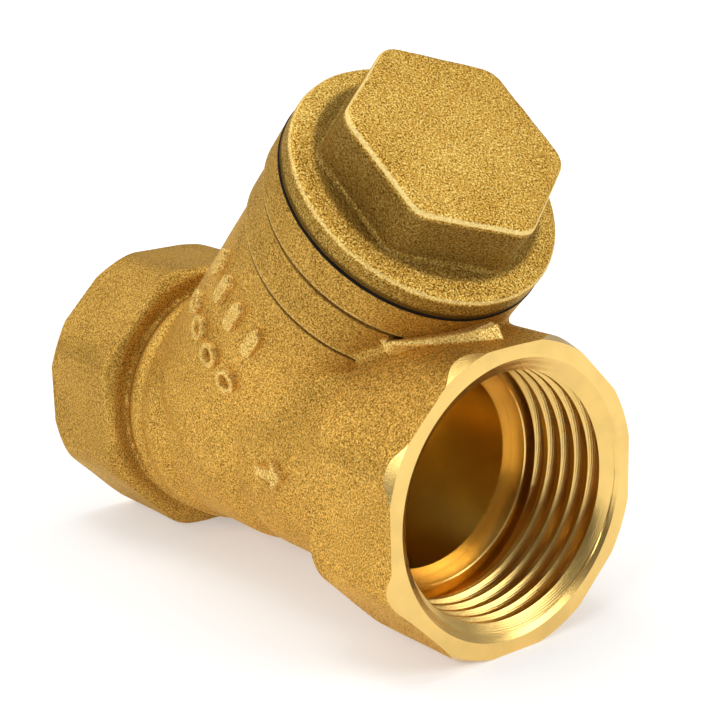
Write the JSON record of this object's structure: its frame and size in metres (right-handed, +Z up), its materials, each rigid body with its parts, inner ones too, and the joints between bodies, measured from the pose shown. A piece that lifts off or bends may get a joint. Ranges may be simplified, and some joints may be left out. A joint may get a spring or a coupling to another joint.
{
  "type": "y strainer",
  "caption": "Brass y strainer with two female pipe ports and a screen in a leaning branch closed by a hexagon cap.",
  "frame": {"origin": "centre of the inlet port's face, on the pipe axis", "axes": "+X along the flow from inlet to outlet, +Z up, with the branch in the XZ plane leaning towards +X"},
  "size_m": [0.0769, 0.0374, 0.0696],
  "materials": {
    "cast_brass": "blasted forging, bright where it is machined",
    "cap_brass": "blasted forging",
    "gasket": "matt",
    "screen_steel": "satin",
    "mesh_steel": "woven"
  },
  "bodies": {
    "body": {"valve_body": "cast_brass"},
    "screen": {"screen_sleeve": "screen_steel", "screen_liner": "mesh_steel", "screen_lower_rim": "screen_steel", "screen_upper_rim": "screen_steel"},
    "gasket": {"cap_gasket": "gasket"},
    "cap": {"cap": "cap_brass"}
  },
  "joints": [
    {"name": "screen_draw", "type": "slide", "parent": "body", "child": "screen", "axis": [0.7071, 0, 0.7071], "range_m": [0, 0.06]},
    {"name": "cap_lift", "type": "slide", "parent": "screen", "child": "gasket", "axis": [0.7071, 0, 0.7071], "range_m": [0, 0.0095]},
    {"name": "cap_turn", "type": "hinge", "parent": "gasket", "child": "cap", "pos_m": [0.026, 0, 0], "axis": [0.7071, 0, 0.7071], "range_deg": [0, 2280]}
  ],
  "couplings": [
    {"joint": "cap_lift", "follows": "cap_turn", "m_per_rad": 0.00023873}
  ]
}
